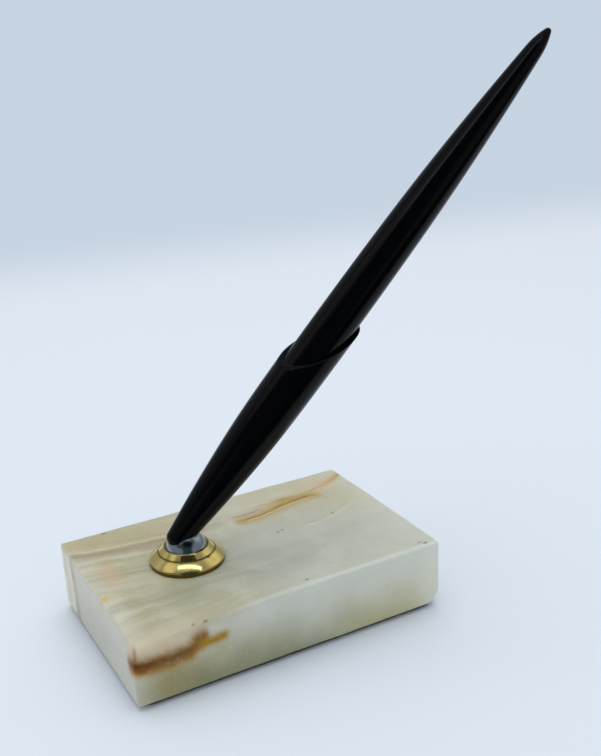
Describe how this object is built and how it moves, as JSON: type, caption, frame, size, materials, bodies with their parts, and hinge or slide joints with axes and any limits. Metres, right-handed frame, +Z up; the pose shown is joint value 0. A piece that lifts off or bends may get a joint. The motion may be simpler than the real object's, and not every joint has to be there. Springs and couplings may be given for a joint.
{
  "type": "pen stand",
  "caption": "Desk pen stand: polished banded stone block with a brass ball socket, a swivelling black trumpet-shaped holder and a long tapered black ball pen that lifts out.",
  "frame": {"origin": "centre of the felt's underside, on the surface that the stand rests on", "axes": "+Z up, +X along the block's length, the way the pen leans, -Y the block's front"},
  "size_m": [0.1667, 0.0646, 0.1691],
  "materials": {
    "banded_stone": "polished",
    "felt": "pressed felt",
    "polished_brass": "polished",
    "zinc_steel": "zinc plated",
    "spring_steel": "tempered",
    "seat_plastic": "natural nylon",
    "bright_plating": "bright plated steel",
    "black_plastic": "gloss moulded",
    "refill_plastic": "translucent tube",
    "ink": "thick ink"
  },
  "bodies": {
    "stand": {"stone_base": "banded_stone", "felt_pad": "felt", "base_flange": "polished_brass", "retaining_ring": "polished_brass", "mounting_stud": "zinc_steel", "plain_washer": "zinc_steel", "lock_washer": "zinc_steel", "fixing_nut": "zinc_steel"},
    "seat": {"ball_seat": "seat_plastic", "disc_spring": "spring_steel"},
    "holder": {"swivel_ball": "bright_plating", "holder_stud": "zinc_steel", "pen_holder": "black_plastic"},
    "pen": {"pen_barrel": "black_plastic", "grip_section": "black_plastic", "nose_cone": "bright_plating", "refill_tube": "refill_plastic", "ink_column": "ink", "refill_tip": "polished_brass", "writing_ball": "spring_steel"}
  },
  "joints": [
    {"name": "swivel_turn", "type": "hinge", "parent": "stand", "child": "seat", "pos_m": [-0.01985, 0.00063, 0.0257], "axis": [0, 0, 1], "continuous": true},
    {"name": "holder_tilt", "type": "hinge", "parent": "seat", "child": "holder", "pos_m": [-0.01985, 0.00063, 0.0257], "axis": [0, 1, 0], "range_deg": [-17, 32]},
    {"name": "pen_lift", "type": "slide", "parent": "holder", "child": "pen", "axis": [0.7071, 0, 0.7071], "range_m": [0, 0.08]}
  ]
}
